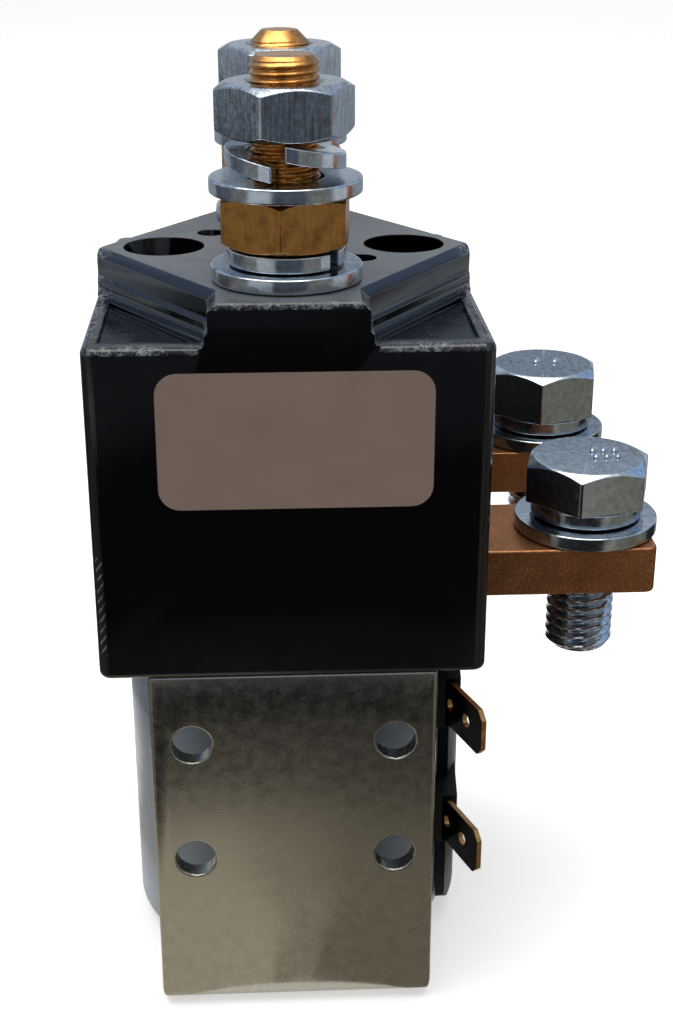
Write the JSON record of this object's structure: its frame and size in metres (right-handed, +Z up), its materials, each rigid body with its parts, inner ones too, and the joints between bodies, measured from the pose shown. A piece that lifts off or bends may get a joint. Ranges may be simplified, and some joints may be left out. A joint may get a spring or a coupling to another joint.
{
  "type": "high voltage dc contactor",
  "caption": "Changeover power contactor: black moulded contact housing on a folded steel magnet frame, threaded studs on top, copper side busbars and coil tabs.",
  "frame": {"origin": "centre of the magnet frame's underside", "axes": "+Z up along the studs, -Y towards the labelled front face, +X towards the side busbars"},
  "size_m": [0.0818, 0.0667, 0.1439],
  "materials": {
    "zinc_plate": "bright zinc plate, bluish",
    "frame_plate": "zinc plate, dulled and mottled",
    "soft_iron": "machined soft iron",
    "phenolic": "glossy black phenolic moulding",
    "black_nylon": "black moulded nylon",
    "copper": "satin brown copper bar",
    "brass": "machined brass",
    "tab_brass": "punched brass sheet",
    "silver": "silver alloy contact face",
    "spring_steel": "drawn spring wire",
    "film_wrap": "grey polyester film",
    "winding": "enamelled copper wire",
    "bush_plastic": "natural white bearing plastic",
    "label": "satin taupe label film, bare"
  },
  "bodies": {
    "base": {"magnet_frame": "frame_plate", "yoke_plate": "frame_plate", "coil_bobbin": "black_nylon", "terminal_carrier": "black_nylon", "insulator_base": "black_nylon", "stop_pad": "black_nylon", "coil_winding": "winding", "rod_bush": "bush_plastic", "coil_wrap": "film_wrap", "guide_tube": "brass", "brass_nut_front": "brass", "brass_nut_rear": "brass", "contact_stud_front": "brass", "contact_stud_rear": "brass", "spade_terminal_upper": "tab_brass", "spade_terminal_lower": "tab_brass", "pole_piece": "soft_iron", "lower_stop": "soft_iron", "housing_screw_left": "zinc_plate", "housing_screw_right": "zinc_plate", "seat_washer_front": "zinc_plate", "seat_washer_rear": "zinc_plate", "seat_lock_washer_front": "zinc_plate", "seat_lock_washer_rear": "zinc_plate", "lug_washer_front": "zinc_plate", "lug_washer_rear": "zinc_plate", "lug_lock_washer_front": "zinc_plate", "lug_lock_washer_rear": "zinc_plate", "lug_nut_front": "zinc_plate", "lug_nut_rear": "zinc_plate", "side_bolt_front": "zinc_plate", "side_bolt_rear": "zinc_plate", "side_washer_front": "zinc_plate", "side_washer_rear": "zinc_plate", "side_lock_washer_front": "zinc_plate", "side_lock_washer_rear": "zinc_plate", "return_spring": "spring_steel", "busbar_front": "copper", "busbar_rear": "copper", "stud_tip_front": "silver", "stud_tip_rear": "silver", "busbar_tip_front": "silver", "busbar_tip_rear": "silver", "housing": "phenolic", "front_label": "label"},
    "armature": {"plunger": "soft_iron", "push_rod": "zinc_plate", "rod_washer": "zinc_plate", "rod_nut": "zinc_plate", "contact_spring": "spring_steel"},
    "bridge": {"contact_bridge": "copper", "bridge_tip_lower_front": "silver", "bridge_tip_lower_rear": "silver", "bridge_tip_upper_front": "silver", "bridge_tip_upper_rear": "silver"}
  },
  "joints": [
    {"name": "armature_slide", "type": "slide", "parent": "base", "child": "armature", "axis": [0, 0, 1], "range_m": [0, 0.0042], "stiffness_N_per_m": 600, "springref_m": -0.006, "deforming": ["return_spring"]},
    {"name": "bridge_slide", "type": "slide", "parent": "base", "child": "bridge", "axis": [0, 0, 1], "range_m": [0, 0.0034], "deforming": ["contact_spring"]}
  ],
  "couplings": [
    {"joint": "bridge_slide", "follows": "armature_slide", "ratio": 0.8095}
  ]
}
